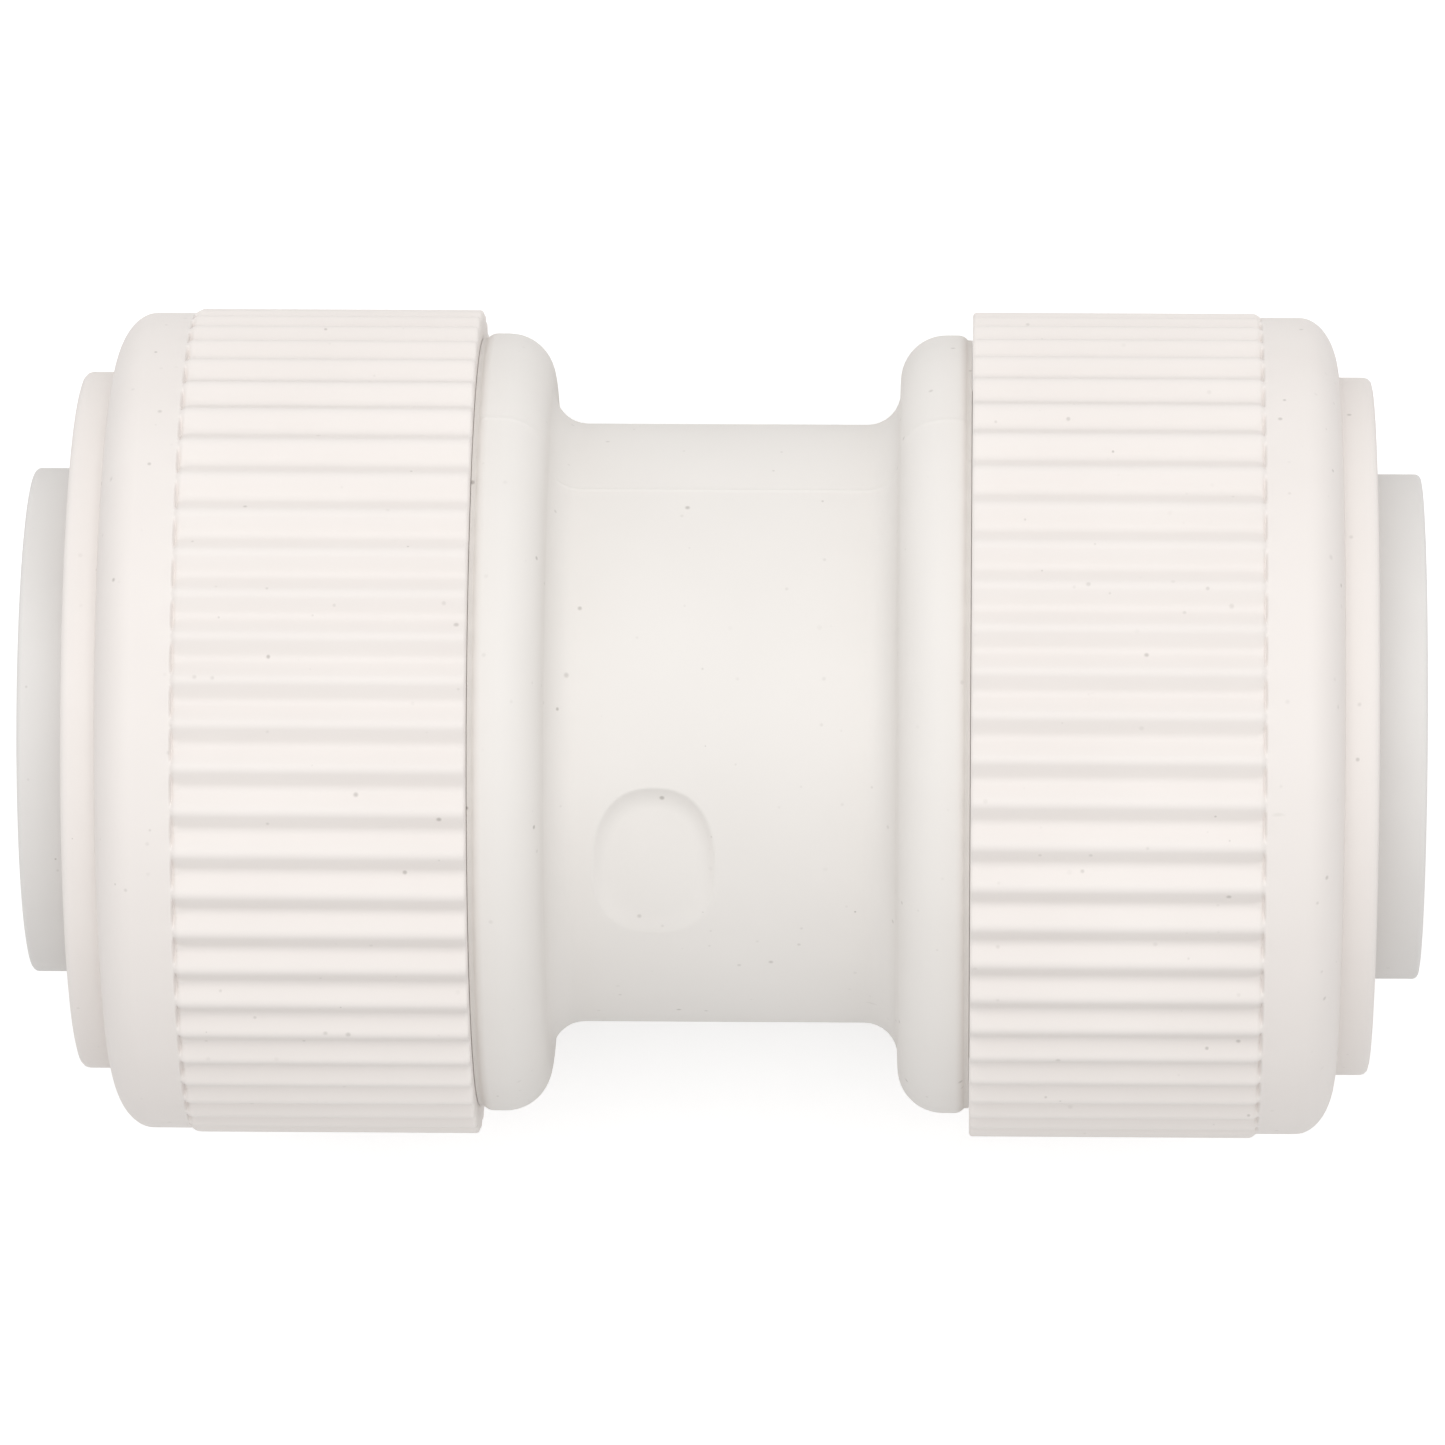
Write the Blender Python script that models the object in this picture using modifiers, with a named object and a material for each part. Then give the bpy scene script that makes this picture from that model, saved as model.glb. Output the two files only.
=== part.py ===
"""A push fit coupling that joins two 15 mm plastic or copper pipes end to end.

The pipe axis is world X and the middle of the coupling is the origin. Each end is built once,
in a frame whose +Z points out of the pipe mouth, and hung from an empty that turns it into place.
At rest both screw caps are locked home and both collets are pushed home against their caps.
"""

import math

import bmesh
import bpy
from mathutils import Matrix, Vector

MM = 0.001

# Facets round a full turn.
BODY_STEPS = 48
CAP_STEPS = 60
COLLET_STEPS = 48
SPACER_STEPS = 40
O_RING_STEPS = 36
O_RING_SECTION_STEPS = 10
ROUNDING_STEPS = 4
SMALL_ROUNDING_STEPS = 2

# How far a cutter runs past what it cuts.
CUTTER_CLEAR = 0.6

# Body: a plain tube with a round flange, a threaded neck and a stepped bore at each end.
TUBE_R = 12.1
TUBE_END = 6.0
TUBE_FILLET = 1.0
FLANGE_R = 15.73
FLANGE_ROUND = 1.83
FLANGE_EDGE = 0.2
FLANGE_OUTER_Z = 9.7
CAP_SEAT_R = 15.3
CAP_SEAT_Z = 9.84
NECK_R = 13.3
NECK_CHAMFER = 0.3
MOUTH_Z = 17.0
COUNTERBORE_R = 11.8
COUNTERBORE_Z = 15.3
SEAL_SEAT_R = 9.9
SEAL_SEAT_Z = 12.7
SOCKET_R = 7.65
STOP_R = 6.6
STOP_Z = 1.0

# Shallow flat oval left by the mould on the tube.
RECESS_X = -2.7
RECESS_ANGLE = math.radians(27.0)
RECESS_FLOOR_R = 11.6
RECESS_SHIFT = 0.3
RECESS_HALF_LENGTH = 2.42
RECESS_HALF_WIDTH = 3.2
RECESS_SEGMENTS = 36
RECESS_CUTTER_HEIGHT = 3.0

# Two-start thread that draws the cap in. One turn moves the cap by the lead.
THREAD_LEAD = 4.0
THREAD_STARTS = 2
THREAD_CREST_R = 14.1
THREAD_FOOT_R = 13.0
THREAD_FOOT_HALF = 0.525
THREAD_CREST_HALF = 0.25
THREAD_Z = 11.0
THREAD_STEPS = 50
THREAD_RUN_OUT = 3
CAP_THREAD_STEPS = 10
CAP_THREAD_LUGS = 4
CAP_THREAD_Z = 13.0
CAP_THREAD_FOOT_R = 14.6
CAP_THREAD_TIP_R = 13.55
CAP_THREAD_FOOT_HALF = 0.63
CAP_THREAD_TIP_HALF = 0.35
CAP_THREAD_RUN_OUT = 2
BURIED_SHARE = 0.1

# Screw cap.
CAP_INNER_Z = 9.9
CREST_R = 16.67
CREST_END_Z = 21.4
BAND_R = 16.5
BAND_START_Z = 21.5
BAND_END_Z = 23.07
SHOULDER_LENGTH = 1.55
NOSE_R = 14.1
NOSE_FACE_Z = 25.98
NOSE_EDGE = 0.3
CAP_HOLE_R = 9.35
CAP_HOLE_CHAMFER = 0.2
CAP_BORE_R = 14.35
CAP_STOP_Z = 17.25
CHAMBER_R = 10.9
CONE_START_Z = 22.4
CONE_END_Z = 24.9
RIB_COUNT = 60
GROOVE_FLOOR_R = 16.26
GROOVE_FLOOR_HALF = 0.08
GROOVE_MOUTH_HALF = 0.76
GROOVE_CUTTER_CLEAR = 0.04
GROOVE_FLOOR_END_Z = 21.15
CREST_EDGE = 0.15
THREAD_LEAD_IN = 0.25

# Collet with eight sprung arms and a steel tooth set into each arm.
HEAD_R = 10.2
HEAD_FACE_Z = 28.0
HEAD_BACK_Z = 26.08
HEAD_EDGE = 0.2
COLLET_NECK_R = 9.0
ARM_RAMP_Z = 21.8
BULGE_R = 10.6
BULGE_Z = 20.4
TIP_Z = 18.5
ARM_COUNT = 8
SLOT_WIDTH = 0.9
SLOT_END_Z = 25.2
TOOTH_Z = 19.5
TOOTH_THICKNESS = 0.35
TOOTH_EDGE_THICKNESS = 0.06
TOOTH_WIDTH = 2.2
TOOTH_POINT_R = 7.35
TOOTH_BACK_R = 9.7
POCKET_GAP = 0.15

# Seal and the spacer ring that carries the cap's push to it.
O_RING_R = 8.6
O_RING_SECTION_R = 1.2
O_RING_Z = 13.95
SPACER_INNER_R = 7.8
SPACER_OUTER_R = 11.6
SPACER_Z = (15.5, 17.1)
SPACER_EDGE = 0.15

# How far each end is turned about the pipe axis, in degrees, which sets where its ribs stand.
SIDES = {
    "right": {"turn_y": 90.0, "cap_spin": 1.8, "collet_spin": 8.0},
    "left": {"turn_y": -90.0, "cap_spin": -3.5, "collet_spin": -15.0},
}

# Colour, roughness and metallic of each material.
FINISHES = {
    "body_plastic": ((0.88, 0.86, 0.83), 0.42, 0.0),
    "cap_plastic": ((0.92, 0.88, 0.85), 0.40, 0.0),
    "collet_plastic": ((0.78, 0.75, 0.71), 0.38, 0.0),
    "seal_rubber": ((0.02, 0.02, 0.02), 0.55, 0.0),
    "spacer_plastic": ((0.80, 0.80, 0.78), 0.45, 0.0),
    "tooth_steel": ((0.62, 0.62, 0.60), 0.28, 1.0),
}

SHARP_ANGLE = math.radians(32.0)


def clear_scene():
    for obj in list(bpy.data.objects):
        bpy.data.objects.remove(obj, do_unlink=True)


def new_collection(name):
    collection = bpy.data.collections.new(name)
    bpy.context.scene.collection.children.link(collection)
    return collection


def make_material(name, finish):
    colour, roughness, metallic = FINISHES[finish]
    material = bpy.data.materials.new(name)
    material.use_nodes = True
    shader = material.node_tree.nodes["Principled BSDF"]
    shader.inputs["Base Color"].default_value = (*colour, 1.0)
    shader.inputs["Roughness"].default_value = roughness
    shader.inputs["Metallic"].default_value = metallic
    return material


def make_crisp_edges_group():
    """Geometry nodes that shade faces smooth and keep every edge over SHARP_ANGLE crisp."""
    group = bpy.data.node_groups.new("crisp_edges", "GeometryNodeTree")
    group.interface.new_socket("Geometry", in_out="INPUT", socket_type="NodeSocketGeometry")
    group.interface.new_socket("Geometry", in_out="OUTPUT", socket_type="NodeSocketGeometry")
    source = group.nodes.new("NodeGroupInput")
    result = group.nodes.new("NodeGroupOutput")
    faces = group.nodes.new("GeometryNodeSetShadeSmooth")
    edges = group.nodes.new("GeometryNodeSetShadeSmooth")
    edges.domain = "EDGE"
    edges.inputs["Shade Smooth"].default_value = False
    angle = group.nodes.new("GeometryNodeInputMeshEdgeAngle")
    is_sharp = group.nodes.new("FunctionNodeCompare")
    is_sharp.operation = "GREATER_THAN"
    is_sharp.inputs["B"].default_value = SHARP_ANGLE
    link = group.links.new
    link(source.outputs["Geometry"], faces.inputs["Geometry"])
    link(faces.outputs["Geometry"], edges.inputs["Geometry"])
    link(angle.outputs["Unsigned Angle"], is_sharp.inputs["A"])
    link(is_sharp.outputs["Result"], edges.inputs["Selection"])
    link(edges.outputs["Geometry"], result.inputs["Geometry"])
    return group


def finish_node(obj, finish, crisp_edges):
    obj.data.materials.append(make_material(obj.name, finish))
    modifier = obj.modifiers.new("crisp_edges", "NODES")
    modifier.node_group = crisp_edges


def link_object(name, mesh, collection, parent):
    obj = bpy.data.objects.new(name, mesh)
    collection.objects.link(obj)
    obj.parent = parent
    return obj


def object_from_bmesh(name, bm, collection, parent):
    bmesh.ops.recalc_face_normals(bm, faces=bm.faces)
    mesh = bpy.data.meshes.new(name)
    bm.to_mesh(mesh)
    bm.free()
    return link_object(name, mesh, collection, parent)


def turned(name, profile, steps, collection, parent):
    """A ring turned about Z from a closed profile of (radius, height) points in mm."""
    mesh = bpy.data.meshes.new(name)
    points = [(r * MM, 0.0, z * MM) for r, z in profile]
    edges = [(i, (i + 1) % len(points)) for i in range(len(points))]
    mesh.from_pydata(points, edges, [])
    obj = link_object(name, mesh, collection, parent)
    screw = obj.modifiers.new("turn", "SCREW")
    screw.axis = "Z"
    screw.steps = steps
    screw.render_steps = steps
    screw.use_merge_vertices = True
    screw.merge_threshold = 0.00001
    screw.use_smooth_shade = True
    return obj


def make_helper(obj):
    obj.hide_render = True
    obj.display_type = "WIRE"
    return obj


def combine(obj, helper, operation):
    boolean = obj.modifiers.new(helper.name, "BOOLEAN")
    boolean.operation = operation
    boolean.solver = "EXACT"
    boolean.object = helper


def arc(centre, radii, start, end, steps):
    """Points along an ellipse from one angle to another in degrees, as (radius, height)."""
    points = []
    for i in range(steps + 1):
        angle = math.radians(start + (end - start) * i / steps)
        points.append((centre[0] + radii[0] * math.cos(angle), centre[1] + radii[1] * math.sin(angle)))
    return points


def body_half_outline():
    """Outer outline of the body from its mouth down to the middle."""
    flange_centre = (FLANGE_R - FLANGE_ROUND, TUBE_END + TUBE_FILLET + FLANGE_ROUND)
    fillet_centre = (TUBE_R + TUBE_FILLET, TUBE_END)
    outline = [
        (COUNTERBORE_R, MOUTH_Z),
        (NECK_R - NECK_CHAMFER, MOUTH_Z),
        (NECK_R, MOUTH_Z - NECK_CHAMFER),
        (NECK_R, CAP_SEAT_Z),
        (CAP_SEAT_R, CAP_SEAT_Z),
        (CAP_SEAT_R, FLANGE_OUTER_Z),
        (FLANGE_R - FLANGE_EDGE, FLANGE_OUTER_Z),
        (FLANGE_R, FLANGE_OUTER_Z - FLANGE_EDGE),
    ]
    outline += arc(flange_centre, (FLANGE_ROUND, FLANGE_ROUND), 0, -90, ROUNDING_STEPS)
    outline += arc(fillet_centre, (TUBE_FILLET, TUBE_FILLET), 90, 180, ROUNDING_STEPS)
    return outline


def body_half_bore():
    """Bore of the body from the middle up to its mouth."""
    return [
        (STOP_R, STOP_Z),
        (SOCKET_R, STOP_Z),
        (SOCKET_R, SEAL_SEAT_Z),
        (SEAL_SEAT_R, SEAL_SEAT_Z),
        (SEAL_SEAT_R, COUNTERBORE_Z),
        (COUNTERBORE_R, COUNTERBORE_Z),
    ]


def mirrored(points):
    return [(r, -z) for r, z in reversed(points)]


def add_ridge(bm, section, foot_r, tip_r, start_angle, step_angle, steps, z_start, run_out):
    """One helical ridge that sinks to its foot at both ends. section is (foot, tip) half widths."""
    foot_half, tip_half = section
    rings = []
    for i in range(steps + 1):
        angle = start_angle + step_angle * i
        z = z_start + THREAD_LEAD * step_angle * i / (2 * math.pi)
        rise = min(1.0, i / run_out, (steps - i) / run_out)
        top_r = foot_r + (tip_r - foot_r) * (BURIED_SHARE + (1 - BURIED_SHARE) * rise)
        corners = [(foot_r, -foot_half), (top_r, -tip_half), (top_r, tip_half), (foot_r, foot_half)]
        ring = []
        for r, dz in corners:
            ring.append(bm.verts.new((r * math.cos(angle) * MM, r * math.sin(angle) * MM, (z + dz) * MM)))
        rings.append(ring)
    for near, far in zip(rings, rings[1:]):
        for i in range(4):
            j = (i + 1) % 4
            bm.faces.new((near[i], near[j], far[j], far[i]))
    bm.faces.new(rings[0])
    bm.faces.new(reversed(rings[-1]))


def make_body_thread(name, helpers, parent):
    bm = bmesh.new()
    section = (THREAD_FOOT_HALF, THREAD_CREST_HALF)
    step_angle = 2 * math.pi / BODY_STEPS
    for start in range(THREAD_STARTS):
        start_angle = 2 * math.pi * start / THREAD_STARTS
        add_ridge(bm, section, THREAD_FOOT_R, THREAD_CREST_R, start_angle, step_angle,
                  THREAD_STEPS, THREAD_Z, THREAD_RUN_OUT)
    return make_helper(object_from_bmesh(name, bm, helpers, parent))


def make_recess_cutter(helpers):
    """An upright oval cutter whose flat foot is the floor of the recess."""
    bm = bmesh.new()
    bmesh.ops.create_cone(bm, cap_ends=True, segments=RECESS_SEGMENTS, radius1=1.0, radius2=1.0, depth=1.0)
    size = Vector((RECESS_HALF_LENGTH, RECESS_HALF_WIDTH, RECESS_CUTTER_HEIGHT)) * MM
    bmesh.ops.scale(bm, vec=size, verts=bm.verts)
    lift = Vector((RECESS_X, -RECESS_SHIFT, RECESS_FLOOR_R + RECESS_CUTTER_HEIGHT / 2)) * MM
    bmesh.ops.translate(bm, vec=lift, verts=bm.verts)
    cutter = make_helper(object_from_bmesh("recess_cutter", bm, helpers, None))
    cutter.rotation_euler = (RECESS_ANGLE, 0.0, 0.0)
    return cutter


def make_body(collection, helpers, side_frames):
    half_outline = body_half_outline()
    half_bore = body_half_bore()
    profile = half_outline + mirrored(half_outline) + mirrored(half_bore) + half_bore
    body = turned("coupling_body", profile, BODY_STEPS, collection, None)
    body.rotation_euler = (0.0, math.radians(90.0), 0.0)
    for side, frame in side_frames.items():
        combine(body, make_body_thread(side + "_body_thread", helpers, frame), "UNION")
    combine(body, make_recess_cutter(helpers), "DIFFERENCE")
    return body


def cap_profile():
    nose = arc((NOSE_R - NOSE_EDGE, NOSE_FACE_Z - NOSE_EDGE), (NOSE_EDGE, NOSE_EDGE), 90, 0,
               SMALL_ROUNDING_STEPS)
    shoulder = arc((NOSE_R, BAND_END_Z), (BAND_R - NOSE_R, SHOULDER_LENGTH), 90, 0, ROUNDING_STEPS)
    outside = nose + shoulder + [
        (BAND_R, BAND_START_Z),
        (CREST_R, CREST_END_Z),
        (CREST_R, CAP_INNER_Z + CREST_EDGE),
        (CREST_R - CREST_EDGE, CAP_INNER_Z),
    ]
    inside = [
        (CAP_BORE_R + THREAD_LEAD_IN, CAP_INNER_Z),
        (CAP_BORE_R, CAP_INNER_Z + THREAD_LEAD_IN),
        (CAP_BORE_R, CAP_STOP_Z),
        (CHAMBER_R, CAP_STOP_Z),
        (CHAMBER_R, CONE_START_Z),
        (CAP_HOLE_R, CONE_END_Z),
        (CAP_HOLE_R, NOSE_FACE_Z - CAP_HOLE_CHAMFER),
        (CAP_HOLE_R + CAP_HOLE_CHAMFER, NOSE_FACE_Z),
    ]
    return outside + inside


def make_groove_cutter(name, helpers, parent):
    """Sixty wedges that cut the grooves between the ribs of a cap."""
    outer_r = CREST_R + GROOVE_CUTTER_CLEAR
    reach = outer_r - GROOVE_FLOOR_R
    flare = (GROOVE_MOUTH_HALF - GROOVE_FLOOR_HALF) / (CREST_R - GROOVE_FLOOR_R)
    slant = (BAND_START_Z - GROOVE_FLOOR_END_Z) / (BAND_R - GROOVE_FLOOR_R)
    outer_half = GROOVE_FLOOR_HALF + flare * reach
    outer_end = GROOVE_FLOOR_END_Z + slant * reach
    low_z = CAP_INNER_Z - CUTTER_CLEAR
    bm = bmesh.new()
    for i in range(RIB_COUNT):
        made = bmesh.ops.create_cube(bm, size=2.0)
        turn = Matrix.Rotation(2 * math.pi * i / RIB_COUNT, 4, "Z")
        for vert in made["verts"]:
            outer = vert.co.x > 0
            radius = outer_r if outer else GROOVE_FLOOR_R
            half = outer_half if outer else GROOVE_FLOOR_HALF
            end = outer_end if outer else GROOVE_FLOOR_END_Z
            height = end if vert.co.z > 0 else low_z
            vert.co = turn @ (Vector((radius, half * vert.co.y, height)) * MM)
    return make_helper(object_from_bmesh(name, bm, helpers, parent))


def make_cap_thread(name, spin, helpers, parent):
    """Four short ridges inside a cap that run midway between the ridges of the body."""
    bm = bmesh.new()
    section = (CAP_THREAD_FOOT_HALF, CAP_THREAD_TIP_HALF)
    pitch = THREAD_LEAD / THREAD_STARTS
    step_angle = 2 * math.pi / CAP_STEPS
    half_span = step_angle * CAP_THREAD_STEPS / 2
    for lug in range(CAP_THREAD_LUGS):
        start_angle = 2 * math.pi * lug / CAP_THREAD_LUGS - half_span
        z_on_body = THREAD_Z + pitch / 2 + THREAD_LEAD * (start_angle + spin) / (2 * math.pi)
        turns_up = round((CAP_THREAD_Z - z_on_body) / pitch)
        add_ridge(bm, section, CAP_THREAD_FOOT_R, CAP_THREAD_TIP_R, start_angle, step_angle,
                  CAP_THREAD_STEPS, z_on_body + pitch * turns_up, CAP_THREAD_RUN_OUT)
    return make_helper(object_from_bmesh(name, bm, helpers, parent))


def make_cap(side, spin, collection, helpers, frame):
    cap = turned(side + "_screw_cap", cap_profile(), CAP_STEPS, collection, frame)
    cap.rotation_euler = (0.0, 0.0, spin)
    combine(cap, make_groove_cutter(side + "_groove_cutter", helpers, cap), "DIFFERENCE")
    combine(cap, make_cap_thread(side + "_cap_thread", spin, helpers, cap), "UNION")
    return cap


def collet_profile():
    return [
        (SOCKET_R + HEAD_EDGE, HEAD_FACE_Z),
        (HEAD_R - HEAD_EDGE, HEAD_FACE_Z),
        (HEAD_R, HEAD_FACE_Z - HEAD_EDGE),
        (HEAD_R, HEAD_BACK_Z),
        (COLLET_NECK_R, HEAD_BACK_Z),
        (COLLET_NECK_R, ARM_RAMP_Z),
        (BULGE_R, BULGE_Z),
        (BULGE_R, TIP_Z + HEAD_EDGE),
        (BULGE_R - HEAD_EDGE, TIP_Z),
        (SOCKET_R, TIP_Z),
        (SOCKET_R, HEAD_FACE_Z - HEAD_EDGE),
    ]


def add_block(bm, low, high, angle):
    """A box between two corners given in mm, then turned about Z."""
    made = bmesh.ops.create_cube(bm, size=1.0)
    turn = Matrix.Rotation(angle, 4, "Z")
    for vert in made["verts"]:
        corner = [low[k] if vert.co[k] < 0 else high[k] for k in range(3)]
        vert.co = turn @ (Vector(corner) * MM)
    return made["verts"]


def arm_angle(arm):
    """Middle of one collet arm. The slots lie halfway between the arms."""
    return 2 * math.pi * (arm + 0.5) / ARM_COUNT


def make_collet_cutter(name, helpers, parent):
    """The slots between the arms and the pockets that hold the teeth."""
    half_pocket = TOOTH_WIDTH / 2 + POCKET_GAP
    pocket_low_z = TOOTH_Z - TOOTH_THICKNESS / 2 - POCKET_GAP
    pocket_high_z = TOOTH_Z + TOOTH_THICKNESS / 2 + POCKET_GAP
    bm = bmesh.new()
    for arm in range(ARM_COUNT):
        slot_angle = arm_angle(arm) - math.pi / ARM_COUNT
        add_block(bm, (SOCKET_R - CUTTER_CLEAR, -SLOT_WIDTH / 2, TIP_Z - CUTTER_CLEAR),
                  (BULGE_R + CUTTER_CLEAR, SLOT_WIDTH / 2, SLOT_END_Z), slot_angle)
        add_block(bm, (SOCKET_R - CUTTER_CLEAR, -half_pocket, pocket_low_z),
                  (TOOTH_BACK_R + POCKET_GAP, half_pocket, pocket_high_z), arm_angle(arm))
    return make_helper(object_from_bmesh(name, bm, helpers, parent))


def make_collet(side, spin, collection, helpers, frame):
    collet = turned(side + "_collet", collet_profile(), COLLET_STEPS, collection, frame)
    collet.rotation_euler = (0.0, 0.0, spin)
    combine(collet, make_collet_cutter(side + "_collet_cutter", helpers, collet), "DIFFERENCE")
    return collet


def make_tooth(name, arm, collection, collet):
    """A small steel blade that points at the pipe and thins towards its edge."""
    half = TOOTH_THICKNESS / 2
    bm = bmesh.new()
    low = (TOOTH_POINT_R, -TOOTH_WIDTH / 2, -half)
    high = (TOOTH_BACK_R, TOOTH_WIDTH / 2, half)
    verts = add_block(bm, low, high, 0.0)
    middle_r = (TOOTH_POINT_R + TOOTH_BACK_R) / 2 * MM
    for vert in verts:
        if vert.co.x < middle_r:
            vert.co.z *= TOOTH_EDGE_THICKNESS / TOOTH_THICKNESS
    tooth = object_from_bmesh(name, bm, collection, collet)
    tooth.location = (0.0, 0.0, TOOTH_Z * MM)
    tooth.rotation_euler = (0.0, 0.0, arm_angle(arm))
    return tooth


def make_o_ring(side, collection, frame):
    section = arc((O_RING_R, O_RING_Z), (O_RING_SECTION_R, O_RING_SECTION_R), 90, -270, O_RING_SECTION_STEPS)
    return turned(side + "_o_ring", section[:-1], O_RING_STEPS, collection, frame)


def make_spacer(side, collection, frame):
    low, high = SPACER_Z
    profile = [
        (SPACER_INNER_R, high),
        (SPACER_OUTER_R - SPACER_EDGE, high),
        (SPACER_OUTER_R, high - SPACER_EDGE),
        (SPACER_OUTER_R, low),
        (SPACER_INNER_R, low),
    ]
    return turned(side + "_spacer_ring", profile, SPACER_STEPS, collection, frame)


def make_side_frame(side, collection):
    frame = bpy.data.objects.new(side + "_side", None)
    frame.empty_display_size = 5 * MM
    collection.objects.link(frame)
    frame.rotation_euler = (0.0, math.radians(SIDES[side]["turn_y"]), 0.0)
    return frame


def make_side(side, collection, helpers, frame, crisp_edges):
    cap_spin = math.radians(SIDES[side]["cap_spin"])
    collet_spin = math.radians(SIDES[side]["collet_spin"])
    collet = make_collet(side, collet_spin, collection, helpers, frame)
    finish_node(make_cap(side, cap_spin, collection, helpers, frame), "cap_plastic", crisp_edges)
    finish_node(collet, "collet_plastic", crisp_edges)
    finish_node(make_o_ring(side, collection, frame), "seal_rubber", crisp_edges)
    finish_node(make_spacer(side, collection, frame), "spacer_plastic", crisp_edges)
    for arm in range(ARM_COUNT):
        tooth = make_tooth(f"{side}_grip_tooth_{arm + 1}", arm, collection, collet)
        finish_node(tooth, "tooth_steel", crisp_edges)


def build():
    clear_scene()
    collection = new_collection("push_fit_coupling")
    helpers = new_collection("helpers")
    crisp_edges = make_crisp_edges_group()
    frames = {side: make_side_frame(side, collection) for side in SIDES}
    finish_node(make_body(collection, helpers, frames), "body_plastic", crisp_edges)
    for side, frame in frames.items():
        make_side(side, collection, helpers, frame, crisp_edges)


build()
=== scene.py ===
import math
import bmesh
import bpy
import numpy as np
from mathutils import Matrix, Vector


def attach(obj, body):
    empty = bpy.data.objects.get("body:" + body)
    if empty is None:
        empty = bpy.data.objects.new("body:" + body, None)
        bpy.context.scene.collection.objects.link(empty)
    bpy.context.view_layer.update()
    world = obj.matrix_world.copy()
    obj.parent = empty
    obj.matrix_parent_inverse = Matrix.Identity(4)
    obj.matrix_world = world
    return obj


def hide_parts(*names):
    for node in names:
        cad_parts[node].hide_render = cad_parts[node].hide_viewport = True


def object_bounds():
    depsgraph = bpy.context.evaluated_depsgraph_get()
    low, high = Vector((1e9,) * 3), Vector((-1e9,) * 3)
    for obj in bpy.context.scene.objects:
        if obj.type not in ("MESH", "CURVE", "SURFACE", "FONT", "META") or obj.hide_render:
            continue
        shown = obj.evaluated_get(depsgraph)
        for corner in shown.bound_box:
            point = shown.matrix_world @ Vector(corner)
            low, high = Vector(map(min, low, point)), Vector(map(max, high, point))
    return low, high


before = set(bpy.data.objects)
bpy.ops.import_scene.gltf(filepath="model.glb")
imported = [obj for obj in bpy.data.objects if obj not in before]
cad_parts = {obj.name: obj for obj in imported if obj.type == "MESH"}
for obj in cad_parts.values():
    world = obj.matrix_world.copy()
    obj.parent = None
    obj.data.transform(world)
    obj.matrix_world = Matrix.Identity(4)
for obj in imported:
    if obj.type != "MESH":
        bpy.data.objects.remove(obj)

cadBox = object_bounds()  # the solid model's box, used to set the floor's height
mm = 0.001
fullTurn = 2 * math.pi
white = (1, 1, 1, 1)
weldDistance = 0.001 * mm  # joins neighbouring units of a repeated ring
mergeDistance = 0.0005 * mm  # joins points that fall together in a finished piece

# Each end is built with +Z pointing out of the pipe mouth, then turned onto the X axis.
ends = {
    "right": {"turn": Matrix.Rotation(math.radians(90), 4, "Y"), "capSpin": 1.8, "colletSpin": 8.0},
    "left": {"turn": Matrix.Rotation(math.radians(-90), 4, "Y"), "capSpin": -3.5, "colletSpin": -15.0},
}


# Outlines are lists of corners (radius, height, rounding); a rounding of 0 keeps the point as it is.
def arcRows(centre, radii, start, end, steps):
    # points along part of an oval, none of them rounded again
    turns = np.radians(np.linspace(start, end, steps + 1))
    return [(centre[0] + radii[0] * math.cos(a), centre[1] + radii[1] * math.sin(a), 0) for a in turns]


def straightRows(radius, heights):
    return [(radius, z, 0) for z in heights]


def withEdges(points, roundings):
    return [(r, z, rounding) for (r, z), rounding in zip(points, roundings)]


def mirrored(corners):
    return [(r, -z, rounding) for r, z, rounding in reversed(corners)]


def spread(start, end, gap):
    # evenly spaced values from start to end, both included, no further apart than gap
    count = max(1, math.ceil(abs(end - start) / gap - 1e-6))
    return list(np.linspace(start, end, count + 1))


def roundedOutline(corners, steps=4):
    # the closed outline as plain points, each rounding drawn as an arc of so many steps
    points = []
    count = len(corners)
    for i in range(count):
        r, z, rounding = corners[i]
        here = Vector((r, z))
        if rounding == 0:
            points.append((r, z))
            continue
        before = (Vector(corners[i - 1][:2]) - here).normalized()
        after = (Vector(corners[(i + 1) % count][:2]) - here).normalized()
        half = before.angle(after) / 2
        reach = rounding / math.tan(half)
        centre = here + (before + after).normalized() * (rounding / math.sin(half))
        first = here + before * reach - centre
        last = here + after * reach - centre
        sweep = first.angle_signed(last)
        for step in range(steps + 1):
            spoke = first.copy()
            spoke.rotate(Matrix.Rotation(-sweep * step / steps, 2))
            points.append(tuple(centre + spoke))
    return points


def outlineGrids(outline, columns):
    # the outline's radius and height, repeated for every column round the axis
    r, z = np.array(outline).T
    return np.repeat(r[:, None], columns, 1), np.repeat(z[:, None], columns, 1)


def skinMesh(name, radius, height, angles, closed):
    # radius and height are grids of rows round the outline by columns round the axis
    rows, columns = radius.shape
    x = radius * np.cos(angles)
    y = radius * np.sin(angles)
    points = np.stack([x, y, height], axis=-1).reshape(-1, 3) * mm
    across = columns if closed else columns - 1
    row, column = np.meshgrid(np.arange(rows), np.arange(across), indexing="ij")
    rowNext = (row + 1) % rows
    columnNext = (column + 1) % columns
    corners = ((row, column), (rowNext, column), (rowNext, columnNext), (row, columnNext))
    faces = np.stack([(a * columns + b).ravel() for a, b in corners], axis=-1)
    mesh = bpy.data.meshes.new(name)
    mesh.from_pydata(points.tolist(), [], faces.tolist())
    return mesh


def turnedMesh(name, outline, columns):
    radius, height = outlineGrids(outline, columns)
    angles = np.linspace(0, fullTurn, columns, endpoint=False)
    return skinMesh(name, radius, height, angles, True)


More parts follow.
